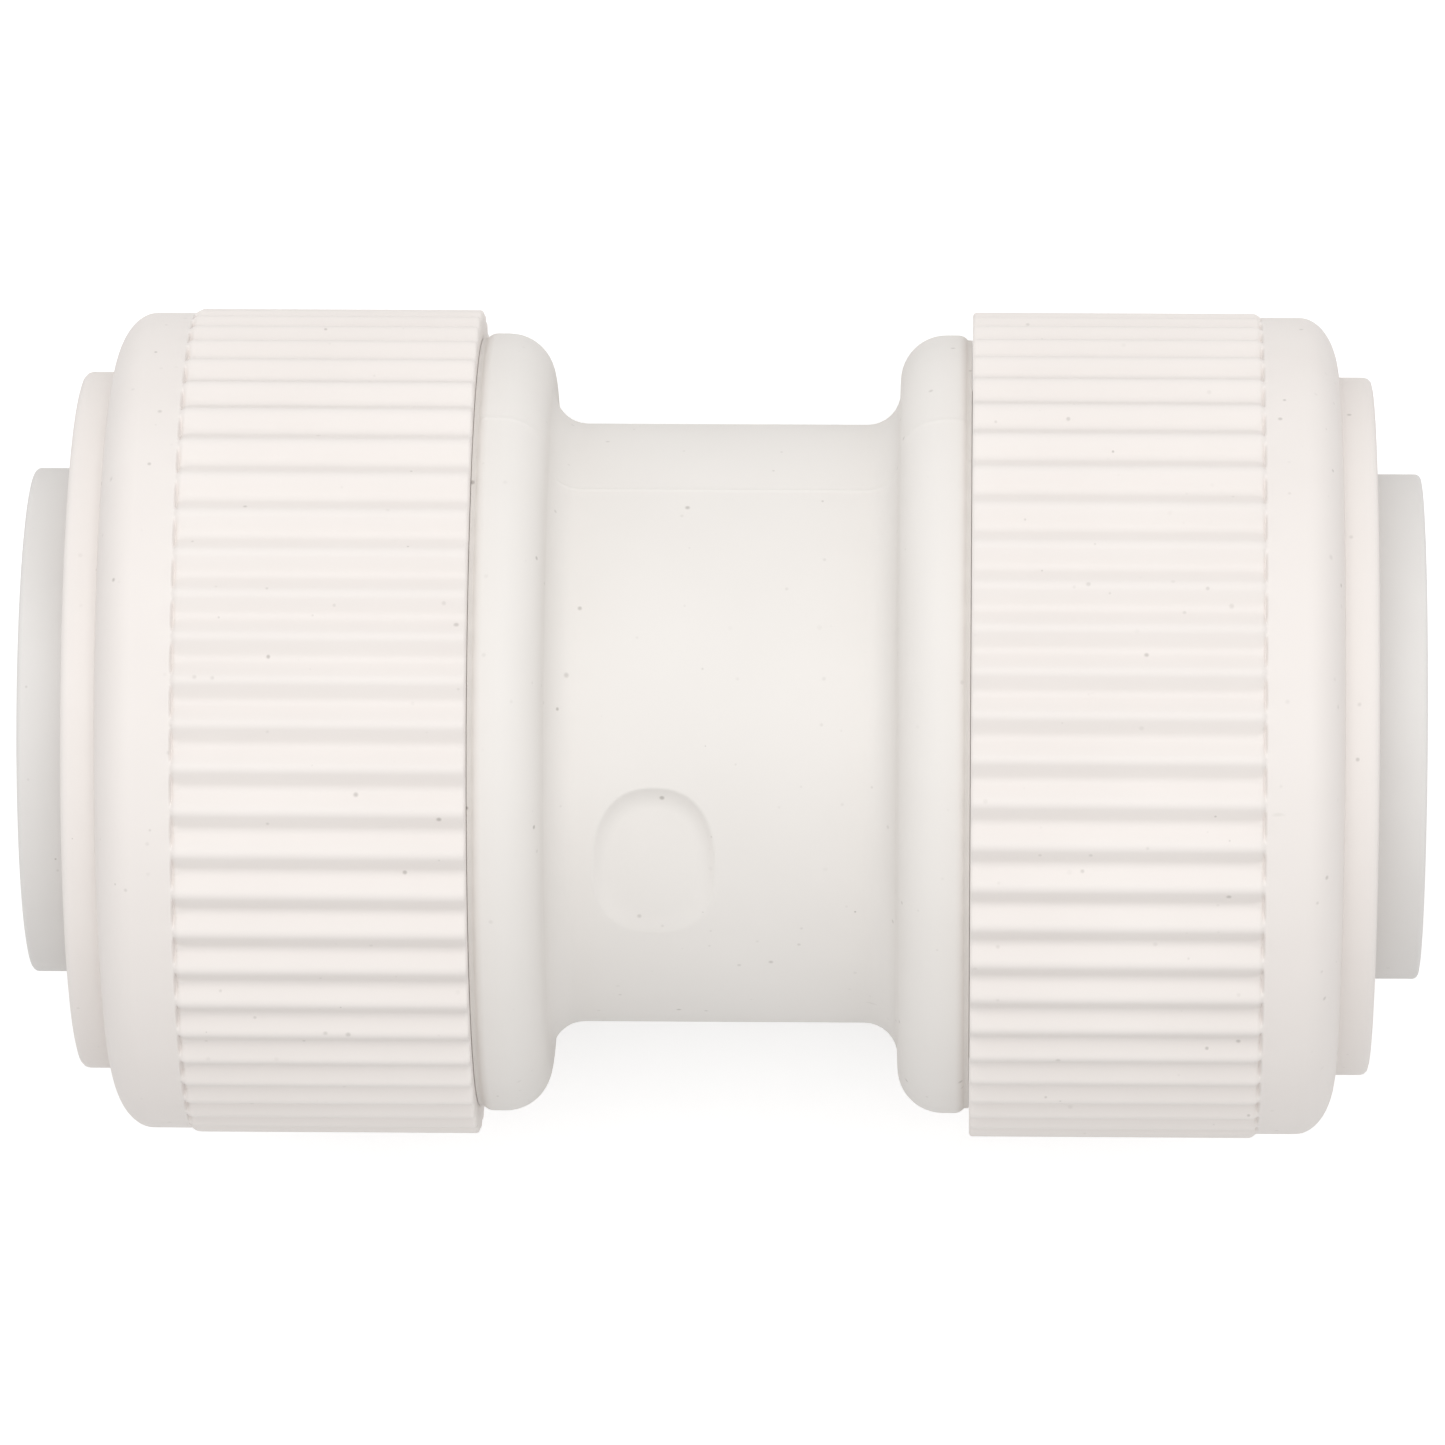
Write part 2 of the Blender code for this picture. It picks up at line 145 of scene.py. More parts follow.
def repaired(mesh, merge=False, fill=False):
    # joins double points and closes open edges where asked, and turns every face outwards
    bm = bmesh.new()
    bm.from_mesh(mesh)
    if merge:
        bmesh.ops.remove_doubles(bm, verts=bm.verts, dist=mergeDistance)
    if fill:
        bmesh.ops.holes_fill(bm, edges=[edge for edge in bm.edges if edge.is_boundary])
    bmesh.ops.recalc_face_normals(bm, faces=bm.faces)
    bm.to_mesh(mesh)
    bm.free()
    return mesh


def buildRepeatTree():
    tree = bpy.data.node_groups.new("repeatRoundAxis", "GeometryNodeTree")
    takes = (("Unit", "Geometry"), ("Count", "Int"), ("Start Angle", "Float"),
             ("Weld Distance", "Float"), ("Finish", "Material"))
    for label, kind in takes:
        tree.interface.new_socket(label, in_out="INPUT", socket_type="NodeSocket" + kind)
    tree.interface.new_socket("Result", in_out="OUTPUT", socket_type="NodeSocketGeometry")
    nodes = tree.nodes
    given = nodes.new("NodeGroupInput")
    result = nodes.new("NodeGroupOutput")
    places = nodes.new("GeometryNodeMeshLine")
    places.inputs["Offset"].default_value = (0, 0, 0)
    index = nodes.new("GeometryNodeInputIndex")
    share = nodes.new("ShaderNodeMath")
    share.operation = "DIVIDE"
    share.inputs[0].default_value = fullTurn
    turn = nodes.new("ShaderNodeMath")
    turn.operation = "MULTIPLY_ADD"
    spin = nodes.new("ShaderNodeCombineXYZ")
    toRotation = nodes.new("FunctionNodeEulerToRotation")
    placed = nodes.new("GeometryNodeInstanceOnPoints")
    realize = nodes.new("GeometryNodeRealizeInstances")
    weld = nodes.new("GeometryNodeMergeByDistance")
    finish = nodes.new("GeometryNodeSetMaterial")
    wires = (
        (given, "Count", places, "Count"), (given, "Count", share, 1), (index, 0, turn, 0),
        (share, 0, turn, 1), (given, "Start Angle", turn, 2), (turn, 0, spin, "Z"),
        (spin, 0, toRotation, 0), (places, "Mesh", placed, "Points"),
        (given, "Unit", placed, "Instance"), (toRotation, 0, placed, "Rotation"),
        (placed, "Instances", realize, "Geometry"), (realize, "Geometry", weld, "Geometry"),
        (given, "Weld Distance", weld, "Distance"), (weld, "Geometry", finish, "Geometry"),
        (given, "Finish", finish, "Material"), (finish, "Geometry", result, "Result"),
    )
    for source, output, target, socket in wires:
        tree.links.new(source.outputs[output], target.inputs[socket])
    return tree


repeatTree = buildRepeatTree()


def repeatRound(unit, count, startAngle, material):
    # turns one unit into a full ring of them and hands back a plain mesh
    holder = bpy.data.objects.new(unit.name, unit)
    bpy.context.scene.collection.objects.link(holder)
    modifier = holder.modifiers.new("repeat", "NODES")
    modifier.node_group = repeatTree
    values = {"Count": count, "Start Angle": startAngle, "Weld Distance": weldDistance, "Finish": material}
    for item in repeatTree.interface.items_tree:
        if item.name in values:
            modifier[item.identifier] = values[item.name]
    graph = bpy.context.evaluated_depsgraph_get()
    mesh = bpy.data.meshes.new_from_object(holder.evaluated_get(graph))
    holder.modifiers.remove(modifier)
    bpy.data.objects.remove(holder)
    return mesh


def finishPiece(name, mesh, material, body, nodes, turn, creaseAngle=40):
    mesh.transform(turn)
    repaired(mesh, merge=True)
    mesh.materials.clear()
    mesh.materials.append(material)
    mesh.shade_smooth()
    mesh.set_sharp_from_angle(angle=math.radians(creaseAngle))
    piece = bpy.data.objects.new(name, mesh)
    bpy.context.scene.collection.objects.link(piece)
    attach(piece, body)
    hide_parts(*nodes)


def newGroup(name, inputs, outputs):
    # a shader group whose sockets are all plain numbers
    tree = bpy.data.node_groups.new(name, "ShaderNodeTree")
    for label in inputs:
        tree.interface.new_socket(label, in_out="INPUT", socket_type="NodeSocketFloat")
    for label in outputs:
        tree.interface.new_socket(label, in_out="OUTPUT", socket_type="NodeSocketFloat")
    return tree, tree.nodes.new("NodeGroupInput"), tree.nodes.new("NodeGroupOutput")


def feed(tree, socket, value):
    # an output is linked to the socket; a number or a colour is set on the socket itself
    if isinstance(value, bpy.types.NodeSocket):
        tree.links.new(value, socket)
    else:
        socket.default_value = value


def mathNode(tree, operation, first, second):
    node = tree.nodes.new("ShaderNodeMath")
    node.operation = operation
    feed(tree, node.inputs[0], first)
    feed(tree, node.inputs[1], second)
    return node.outputs[0]


def noiseNode(tree, vector, scale, detail, roughness=0.5):
    node = tree.nodes.new("ShaderNodeTexNoise")
    labels = ("Vector", "Scale", "Detail", "Roughness")
    for label, value in zip(labels, (vector, scale, detail, roughness)):
        feed(tree, node.inputs[label], value)
    return node


def rangeNode(tree, value, low, high, toLow=0.0, toHigh=1.0):
    node = tree.nodes.new("ShaderNodeMapRange")
    labels = ("Value", "From Min", "From Max", "To Min", "To Max")
    for label, given in zip(labels, (value, low, high, toLow, toHigh)):
        feed(tree, node.inputs[label], given)
    return node.outputs["Result"]


def mixColours(tree, amount, first, second):
    node = tree.nodes.new("ShaderNodeMix")
    node.data_type = "RGBA"
    for index, given in ((0, amount), (6, first), (7, second)):  # 6 and 7 are the two colours
        feed(tree, node.inputs[index], given)
    return node.outputs[2]


def vectorNode(tree, operation):
    node = tree.nodes.new("ShaderNodeVectorMath")
    node.operation = operation
    return node


def objectPlace(tree):
    return tree.nodes.new("ShaderNodeTexCoord").outputs["Object"]


mouldedLook = {
    "toneDetail": 3.0, "toneRoughness": 0.55, "grainDetail": 2.0, "grainRoughness": 0.6,
    "broadScale": 420.0, "broadDetail": 2.0, "fineShare": 0.35, "stretch": (0.3, 0.7),
}


def buildMouldedGroup():
    # even plastic with slow tone drift and a fine eggshell grain from the mould
    look = mouldedLook
    tree, given, result = newGroup(
        "mouldedSkin", ("toneScale", "grainScale"), ("tone", "grain", "glossDrift"))
    place = objectPlace(tree)
    slow = noiseNode(tree, place, given.outputs["toneScale"], look["toneDetail"], look["toneRoughness"])
    fine = noiseNode(tree, place, given.outputs["grainScale"], look["grainDetail"], look["grainRoughness"])
    broad = noiseNode(tree, place, look["broadScale"], look["broadDetail"]).outputs["Fac"]
    grain = mathNode(tree, "ADD", mathNode(tree, "MULTIPLY", fine.outputs["Fac"], look["fineShare"]), broad)
    feed(tree, result.inputs["tone"], rangeNode(tree, slow.outputs["Fac"], *look["stretch"]))
    feed(tree, result.inputs["grain"], grain)
    feed(tree, result.inputs["glossDrift"], rangeNode(tree, broad, *look["stretch"]))
    return tree


marksLook = {
    "speckSizes": (0.04, 0.15), "speckCore": 0.4, "speckStrengths": (0.3, 1.0),
    "bendScale": 420.0, "bendDetail": 1.0, "bendReach": (0.0012, 0.0012, 0.0012),
    "strokeTurn": (0.5, 0.3, 0.9), "strokeStretch": (0.16, 1.0, 1.0), "strokeEdge": (0.02, 0.06),
}


def scatteredCells(tree, place, scale, share):
    # distance to the nearest cell's middle, that cell's own random numbers, and whether it is chosen
    cells = tree.nodes.new("ShaderNodeTexVoronoi")
    feed(tree, cells.inputs["Vector"], place)
    feed(tree, cells.inputs["Scale"], scale)
    picked = tree.nodes.new("ShaderNodeSeparateColor")
    feed(tree, picked.inputs[0], cells.outputs["Color"])
    return cells.outputs["Distance"], picked.outputs, mathNode(tree, "LESS_THAN", picked.outputs[0], share)


def buildMarksGroup():
    # tiny specks of mixed size and strength, and a few short bent hair scratches
    look = marksLook
    takes = ("speckScale", "speckShare", "scratchScale", "scratchShare")
    tree, given, result = newGroup("specksAndScratches", takes, ("specks", "scratches"))
    speckScale, speckShare, scratchScale, scratchShare = (given.outputs[label] for label in takes)
    place = objectPlace(tree)
    distance, picked, chosen = scatteredCells(tree, place, speckScale, speckShare)
    size = rangeNode(tree, picked[1], 0.0, 1.0, *look["speckSizes"])
    dot = rangeNode(tree, mathNode(tree, "DIVIDE", distance, size), look["speckCore"], 1.0, 1.0, 0.0)
    strength = rangeNode(tree, picked[2], 0.0, 1.0, *look["speckStrengths"])
    faint = mathNode(tree, "MULTIPLY", strength, strength)
    speck = mathNode(tree, "MULTIPLY", mathNode(tree, "MULTIPLY", dot, faint), chosen)
    feed(tree, result.inputs["specks"], speck)
    bend = vectorNode(tree, "MULTIPLY_ADD")
    drift = noiseNode(tree, place, look["bendScale"], look["bendDetail"]).outputs["Color"]
    for index, value in enumerate((drift, look["bendReach"], place)):
        feed(tree, bend.inputs[index], value)
    warped = tree.nodes.new("ShaderNodeMapping")
    warped.inputs["Rotation"].default_value = look["strokeTurn"]
    warped.inputs["Scale"].default_value = look["strokeStretch"]
    feed(tree, warped.inputs["Vector"], bend.outputs[0])
    distance, _, chosen = scatteredCells(tree, warped.outputs[0], scratchScale, scratchShare)
    line = rangeNode(tree, distance, *look["strokeEdge"], 1.0, 0.0)
    feed(tree, result.inputs["scratches"], mathNode(tree, "MULTIPLY", line, chosen))
    return tree


edgeLook = {"samples": 4, "flat": 0.98, "sharp": 0.86}


def buildEdgeGroup():
    # finds the edges; on the plastic they get a painted highlight, a lighter colour, and less roughness,
    # and on the metal they are rubbed brighter and smoother by wear
    tree, given, result = newGroup("edgeWearAndHighlight", ("edgeRadius",), ("wornAndLitEdge",))
    bevel = tree.nodes.new("ShaderNodeBevel")
    bevel.samples = edgeLook["samples"]
    feed(tree, bevel.inputs["Radius"], given.outputs["edgeRadius"])
    product = vectorNode(tree, "DOT_PRODUCT")
    feed(tree, product.inputs[0], bevel.outputs[0])
    feed(tree, product.inputs[1], tree.nodes.new("ShaderNodeNewGeometry").outputs["Normal"])
    wornAndLitEdge = rangeNode(tree, product.outputs["Value"], edgeLook["flat"], edgeLook["sharp"])
    feed(tree, result.inputs["wornAndLitEdge"], wornAndLitEdge)
    return tree


mouldedGroup = buildMouldedGroup()
marksGroup = buildMarksGroup()
edgeGroup = buildEdgeGroup()


def startMaterial(name):
    material = bpy.data.materials.new(name)
    material.use_nodes = True
    tree = material.node_tree
    return material, tree, tree.nodes["Principled BSDF"]


def placeGroup(tree, group, finish):
    # a group's inputs carry the same names as the entries of a finish
    node = tree.nodes.new("ShaderNodeGroup")
    node.node_tree = group
    for socket in node.inputs:
        socket.default_value = finish[socket.name]
    return node.outputs


def addBump(tree, shader, height, finish):
    bump = tree.nodes.new("ShaderNodeBump")
    bump.inputs["Strength"].default_value = finish["bumpStrength"]
    bump.inputs["Distance"].default_value = finish["bumpDistance"]
    feed(tree, bump.inputs["Height"], height)
    feed(tree, shader.inputs["Normal"], bump.outputs[0])


def plasticMaterial(name, finish):
    material, tree, shader = startMaterial(name)
    skin = placeGroup(tree, mouldedGroup, finish)
    marks = placeGroup(tree, marksGroup, finish)
    wornAndLitEdge = placeGroup(tree, edgeGroup, finish)["wornAndLitEdge"]
    colour = mixColours(tree, skin["tone"], finish["colourLow"], finish["colourHigh"])
    # the edge mix paints a lighter colour along the plastic's edges as a painted highlight; the specks and
    # scratches are real marks
    for kind, mark in (("edge", wornAndLitEdge), ("speck", marks["specks"]), ("scratch", marks["scratches"])):
        amount = mathNode(tree, "MULTIPLY", mark, finish[kind + "Depth"])
        colour = mixColours(tree, amount, colour, finish[kind + "Colour"])
    feed(tree, shader.inputs["Base Color"], colour)
    matt = rangeNode(tree, skin["glossDrift"], 0.0, 1.0, *finish["roughness"])
    polish = mathNode(tree, "MULTIPLY", wornAndLitEdge, finish["edgePolish"])
    feed(tree, shader.inputs["Roughness"], mathNode(tree, "SUBTRACT", matt, polish))
    addBump(tree, shader, mathNode(tree, "SUBTRACT", skin["grain"], marks["scratches"]), finish)
    shader.inputs["IOR"].default_value = finish["ior"]
    shader.inputs["Specular IOR Level"].default_value = finish["specular"]
    return material


def rubberMaterial(name, finish):
    material, tree, shader = startMaterial(name)
    skin = placeGroup(tree, mouldedGroup, finish)
    colour = mixColours(tree, skin["tone"], finish["colourLow"], finish["colourHigh"])
    feed(tree, shader.inputs["Base Color"], colour)
    matt = rangeNode(tree, skin["glossDrift"], 0.0, 1.0, *finish["roughness"])
    feed(tree, shader.inputs["Roughness"], matt)
    addBump(tree, shader, skin["grain"], finish)
    return material


def steelMaterial(name, finish):
    material, tree, shader = startMaterial(name)
    skin = placeGroup(tree, mouldedGroup, finish)
    wornAndLitEdge = placeGroup(tree, edgeGroup, finish)["wornAndLitEdge"]
    drawn = mixColours(tree, skin["tone"], finish["colourLow"], finish["colourHigh"])
    # the lighter colour on the steel's edges is rubbed wear
    feed(tree, shader.inputs["Base Color"], mixColours(tree, wornAndLitEdge, drawn, finish["edgeColour"]))
    matt = rangeNode(tree, skin["grain"], *finish["grainRange"], *finish["roughness"])
    feed(tree, shader.inputs["Roughness"], matt)
    shader.inputs["Metallic"].default_value = 1.0
    addBump(tree, shader, skin["grain"], finish)
    return material


plasticBase = {
    "toneScale": 110.0, "grainScale": 2400.0,
    "speckScale": 1050.0, "speckShare": 0.75,
    "speckDepth": 0.62, "speckColour": (0.34, 0.31, 0.28, 1),
    "scratchScale": 620.0, "scratchShare": 0.12,
    "scratchDepth": 0.55, "scratchColour": (0.62, 0.59, 0.55, 1),
    # edgeDepth sets how strongly the plastic's edges take the painted highlight colour
    "edgeRadius": 0.00025, "edgeDepth": 0.5, "edgePolish": 0.06,
    "roughness": (0.50, 0.60), "ior": 1.49, "specular": 0.35,
    "bumpStrength": 0.12, "bumpDistance": 0.00004,
}
# each plastic's edgeColour is the lighter painted highlight along its edges; in the steel's finish it is
# edge wear
capFinish = {
    **plasticBase, "colourLow": (0.797, 0.750, 0.718, 1), "colourHigh": (0.822, 0.777, 0.745, 1),
    "edgeColour": (0.87, 0.83, 0.80, 1),
}
bodyFinish = {
    **plasticBase, "colourLow": (0.775, 0.745, 0.712, 1), "colourHigh": (0.802, 0.772, 0.740, 1),
    "edgeColour": (0.85, 0.82, 0.79, 1),
}
colletFinish = {
    **plasticBase, "colourLow": (0.720, 0.700, 0.680, 1), "colourHigh": (0.745, 0.725, 0.705, 1),
    "edgeColour": (0.80, 0.78, 0.75, 1), "roughness": (0.42, 0.52), "speckShare": 0.25,
}
spacerFinish = {
    **plasticBase, "colourLow": (0.74, 0.74, 0.71, 1), "colourHigh": (0.78, 0.78, 0.75, 1),
    "edgeColour": (0.84, 0.84, 0.81, 1), "speckShare": 0.0,
}
sealFinish = {
    "toneScale": 300.0, "grainScale": 3200.0, "colourLow": (0.012, 0.012, 0.012, 1),
    "colourHigh": (0.028, 0.027, 0.026, 1), "roughness": (0.42, 0.58),
    "bumpStrength": 0.25, "bumpDistance": 0.00004,
}
toothFinish = {
    "toneScale": 500.0, "grainScale": 4200.0, "colourLow": (0.50, 0.49, 0.47, 1),
    "colourHigh": (0.64, 0.63, 0.61, 1), "edgeColour": (0.82, 0.81, 0.79, 1), "edgeRadius": 0.0001,
    "roughness": (0.22, 0.36), "grainRange": (0.2, 1.1), "bumpStrength": 0.2, "bumpDistance": 0.00002,
}

capPlastic = plasticMaterial("warmWhiteCapPlastic", capFinish)
bodyPlastic = plasticMaterial("whiteBodyPlastic", bodyFinish)
colletPlastic = plasticMaterial("greyWhiteColletPlastic", colletFinish)
spacerPlastic = plasticMaterial("spacerPlastic", spacerFinish)
sealRubber = rubberMaterial("blackSealRubber", sealFinish)
toothSteel = steelMaterial("springSteel", toothFinish)
print("finishes ready")


thread = {"lead": 4.0, "starts": 2, "crestRadius": 14.1, "footHalf": 0.45, "crestHalf": 0.25,
          "start": 11.0, "end": 15.4, "fade": 0.35}
threadPitch = thread["lead"] / thread["starts"]

cap = {
    "ribCount": 60, "crestRadius": 16.67, "grooveRadius": 16.28, "bandRadius": 16.5,
    "innerEnd": 9.9, "ribEnd": 21.54, "ribWall": 0.13, "softShare": 0.28,
    # each rib narrows and sinks from here on to its end, which stands a little way past ribEnd
    "ribRoundStart": 20.9, "ribRoundTail": 0.05, "ribNarrowing": 0.55, "ribSinkStart": 0.45,
    # the small dip where each groove ends against the plain band
    "dip": 0.08, "dipPlace": 0.12, "dipWidth": 0.05, "dipStart": 0.15, "dipRun": 0.35,
    "ribRows": (21.55, 21.52, 21.49, 21.46, 21.43, 21.40, 21.37, 21.34, 21.3, 21.26, 21.2, 21.1, 21.0,
                20.85, 20.7, 20.2, 17.5, 14.5, 12.0, 10.6, 10.2, 10.03, 9.945, 9.9),
    "rimDrop": (0.035, 0.13),  # how far the last rows draw in to round the open rim
    "ribColumns": (0, 0.06, 0.12, 0.18, 0.24, 0.36, 0.5, 0.62, 0.68, 0.74, 0.80),  # mm from the crest
    "bandRow": 22.3, "bandEnd": 23.07, "shoulderLength": 1.55, "shoulderSteps": 24,
    "noseRadius": 14.1, "noseFace": 25.98, "noseRows": (25.4, 25.1, 24.8), "noseEdges": (0.25, 0.3),
    "holeRadius": 9.35, "boreRadius": 14.35, "boreLeadIn": 0.3, "stopHeight": 17.25,
    "chamberRadius": 10.9, "coneStart": 22.4, "coneEnd": 24.9,
    "insideEdges": (0.08, 0.08, 0.2, 0.15, 0.3, 0.3),  # roundings, from the open rim to the cone
}
lug = {"count": 4, "height": 13.0, "footRadius": 14.6, "tipRadius": 13.55,
       "footHalf": 0.63, "tipHalf": 0.35, "sweep": 60.0, "steps": 20, "runOut": 4, "leastRise": 0.05}


def smoothStep(value):
    value = np.clip(value, 0.0, 1.0)
    return value * value * (3 - 2 * value)


def ribRadius(angles, heights):
    # radius over one pitch: straight flanks, a soft crest in the middle, a soft root at both sides
    across = np.abs(angles)[None, :] * cap["ribCount"] / math.pi
    z = np.asarray(heights)[:, None]
    run = (z - cap["ribRoundStart"]) / (cap["ribEnd"] - cap["ribRoundStart"] + cap["ribRoundTail"])
    run = np.clip(run, 0, 1)
    place = np.clip(across / np.sqrt(1 - cap["ribNarrowing"] * run ** 2), 0, 1)
    soft = cap["softShare"]
    nearCrest = place ** 2 / (2 * soft)
    nearRoot = 1 - soft - (1 - place) ** 2 / (2 * soft)
    flank = np.where(place > 1 - soft, nearRoot, place - soft / 2)
    fall = np.where(place < soft, nearCrest, flank) / (1 - soft)
    sink = smoothStep((run - cap["ribSinkStart"]) / (1 - cap["ribSinkStart"]))
    crest = cap["crestRadius"] - (cap["crestRadius"] - cap["bandRadius"]) * sink
    dip = cap["dip"] * np.exp(-((z - cap["ribEnd"] + cap["dipPlace"]) / cap["dipWidth"]) ** 2)
    dip = dip * smoothStep((place - cap["dipStart"]) / cap["dipRun"])
    skin = crest - (crest - cap["grooveRadius"]) * fall - dip
    wall = smoothStep((z - (cap["ribEnd"] - cap["ribWall"])) / cap["ribWall"])
    return skin + (cap["bandRadius"] - skin) * wall


def capUnit(side):
    # one rib's pitch of the whole cap, inside and out
    rows = cap["ribRows"]
    shoulder = (cap["bandRadius"] - cap["noseRadius"], cap["shoulderLength"])
    top = withEdges([(cap["holeRadius"], cap["noseFace"]), (cap["noseRadius"], cap["noseFace"])],
                    cap["noseEdges"])
    top += straightRows(cap["noseRadius"], cap["noseRows"])
    top += arcRows((cap["noseRadius"], cap["bandEnd"]), shoulder, 90, 0, cap["shoulderSteps"])
    top += straightRows(cap["bandRadius"], [cap["bandRow"]])
    ribs = straightRows(cap["crestRadius"], rows)
    inside = withEdges([
        (cap["boreRadius"] + cap["boreLeadIn"], cap["innerEnd"]),
        (cap["boreRadius"], cap["innerEnd"] + cap["boreLeadIn"]),
        (cap["boreRadius"], cap["stopHeight"]), (cap["chamberRadius"], cap["stopHeight"]),
        (cap["chamberRadius"], cap["coneStart"]), (cap["holeRadius"], cap["coneEnd"]),
    ], cap["insideEdges"])
    outline = roundedOutline(top + ribs + inside, steps=3)
    pitchHalf = math.pi / cap["ribCount"]
    spots = np.array(cap["ribColumns"]) / cap["crestRadius"]
    half = np.append(spots, pitchHalf)
    angles = np.concatenate([-half[:0:-1], half])
    radius, height = outlineGrids(outline, len(angles))
    first = outline.index((cap["crestRadius"], rows[0]))
    drop = np.zeros(len(rows))
    drop[-len(cap["rimDrop"]):] = cap["rimDrop"]
    radius[first:first + len(rows)] = ribRadius(angles, rows) - drop[:, None]
    return skinMesh(side + "CapRib", radius, height, angles + pitchHalf, False)


def addLug(mesh, startAngle, startHeight):
    # a closed ridge inside the cap that follows the thread and sinks away at both ends
    sweep = math.radians(lug["sweep"])
    bm = bmesh.new()
    bm.from_mesh(mesh)
    rings = []
    for i in range(lug["steps"] + 1):
        angle = startAngle + sweep * i / lug["steps"]
        z = startHeight + thread["lead"] * sweep * i / lug["steps"] / fullTurn
        rise = min(1.0, i / lug["runOut"], (lug["steps"] - i) / lug["runOut"])
        rise = lug["leastRise"] + (1 - lug["leastRise"]) * rise
        top = lug["footRadius"] + (lug["tipRadius"] - lug["footRadius"]) * rise
        corners = [(lug["footRadius"], -lug["footHalf"]), (top, -lug["tipHalf"]),
                   (top, lug["tipHalf"]), (lug["footRadius"], lug["footHalf"])]
        rings.append([bm.verts.new((r * math.cos(angle) * mm, r * math.sin(angle) * mm, (z + dz) * mm))
                      for r, dz in corners])
    for near, far in zip(rings, rings[1:]):
        for i in range(4):
            bm.faces.new((near[i], near[(i + 1) % 4], far[(i + 1) % 4], far[i]))
    bm.faces.new(rings[0])
    bm.faces.new(rings[-1][::-1])
    bm.to_mesh(mesh)
    bm.free()


def makeCap(side):
    spin = math.radians(ends[side]["capSpin"])
    mesh = repeatRound(capUnit(side), cap["ribCount"], spin, capPlastic)
    for i in range(lug["count"]):
        start = fullTurn * i / lug["count"] - math.radians(lug["sweep"]) / 2 + spin
        onBody = thread["start"] + threadPitch / 2 + thread["lead"] * start / fullTurn
        addLug(mesh, start, onBody + threadPitch * round((lug["height"] - onBody) / threadPitch))
    finishPiece(side + "_cap_shell", mesh, capPlastic, side + "_cap", [side + "_screw_cap"],
                ends[side]["turn"], creaseAngle=60)


for side in ends:
    makeCap(side)
print("screw caps ready")


body = {
    "tubeRadius": 12.1, "tubeEnd": 5.65, "tubeFillet": 1.35,
    "flangeRadius": 15.73, "flangeRound": 1.83, "flangeFace": 9.7,
    "flangeEdge": 0.5, "flangeEdgeTurn": 53.0,
    "capSeatRadius": 15.53, "capSeat": 9.885, "seatEdges": (0.2, 0.03),
    "neckRadius": 13.3, "mouth": 17.0, "mouthEdges": (0.15, 0.3),
    "counterboreRadius": 11.8, "counterboreHeight": 15.3, "sealSeatRadius": 9.9, "sealSeatHeight": 12.7,
    "socketRadius": 7.65, "stopRadius": 6.6, "stopHalf": 1.0,
    "boreEdges": (0.2, 0.2, 0.15, 0.2, 0.15, 0.2),
    "edgeSteps": 8, "flangeSteps": 12, "filletSteps": 8, "columnGap": 2.0,
    # rows given by start, end and gap; they lie closest where the thread and the recess are
    "neckRows": (15.6, 10.8, 0.1), "plainTubeRows": (4.5, 0.2, 1.0), "recessTubeRows": (0.0, -5.3, 0.075),
    "skinMargin": 0.01, "threadMargins": (0.4, 0.5),
}
partLine = {"angles": (130.0, 310.0), "height": 0.03, "width": 0.10, "margin": 0.1, "room": 1.0,
            "columns": (-0.7, -0.5, -0.3, -0.15, 0, 0.15, 0.3, 0.5, 0.7)}
recess = {"centre": -2.62, "angle": 207.0, "shift": 0.22, "halfLength": 2.42, "halfWidth": 3.3,
          "depth": 0.42, "squareness": 2.4, "edge": 0.7, "fade": 0.9, "fadePower": 1.3,
          "columnsBefore": 18.5, "columnsAfter": 21.0, "columnGap": 0.27}


def bodyHalf():
    # the right half's outside from the mouth to the tube, and its bore from the middle back up
    flangeCentre = (body["flangeRadius"] - body["flangeRound"],
                    body["tubeEnd"] + body["tubeFillet"] + body["flangeRound"])
    filletCentre = (body["tubeRadius"] + body["tubeFillet"], body["tubeEnd"])
    edgeDrop = body["flangeEdge"] * math.sin(math.radians(body["flangeEdgeTurn"]))
    edgeCentre = (body["flangeRadius"] - body["flangeEdge"], body["flangeFace"] - edgeDrop)
    outside = withEdges([(body["counterboreRadius"], body["mouth"]), (body["neckRadius"], body["mouth"])],
                        body["mouthEdges"])
    outside += straightRows(body["neckRadius"], spread(*body["neckRows"]))
    outside += withEdges([(body["neckRadius"], body["capSeat"]), (body["capSeatRadius"], body["capSeat"])],
                         body["seatEdges"])
    outside += arcRows(edgeCentre, (body["flangeEdge"],) * 2, body["flangeEdgeTurn"], 0, body["edgeSteps"])
    outside += arcRows(flangeCentre, (body["flangeRound"],) * 2, 0, -90, body["flangeSteps"])
    outside += arcRows(filletCentre, (body["tubeFillet"],) * 2, 90, 180, body["filletSteps"])
    bore = withEdges([
        (body["stopRadius"], body["stopHalf"]), (body["socketRadius"], body["stopHalf"]),
        (body["socketRadius"], body["sealSeatHeight"]), (body["sealSeatRadius"], body["sealSeatHeight"]),
        (body["sealSeatRadius"], body["counterboreHeight"]),
        (body["counterboreRadius"], body["counterboreHeight"]),
    ], body["boreEdges"])
    return outside, bore


def bodyColumns():
    # close together over the recess and the parting lines, further apart elsewhere
    fine = spread(recess["angle"] - recess["columnsBefore"], recess["angle"] + recess["columnsAfter"],
                  recess["columnGap"])
    coarse = spread(fine[-1], fine[0] + 360, body["columnGap"])[1:-1]
    lines = partLine["angles"]
    coarse = [a for a in coarse if min(abs(a % 360 - line) for line in lines) > partLine["room"]]
    near = [line + step for line in lines for step in partLine["columns"]]
    return np.radians(sorted(a % 360 for a in fine + coarse + near))


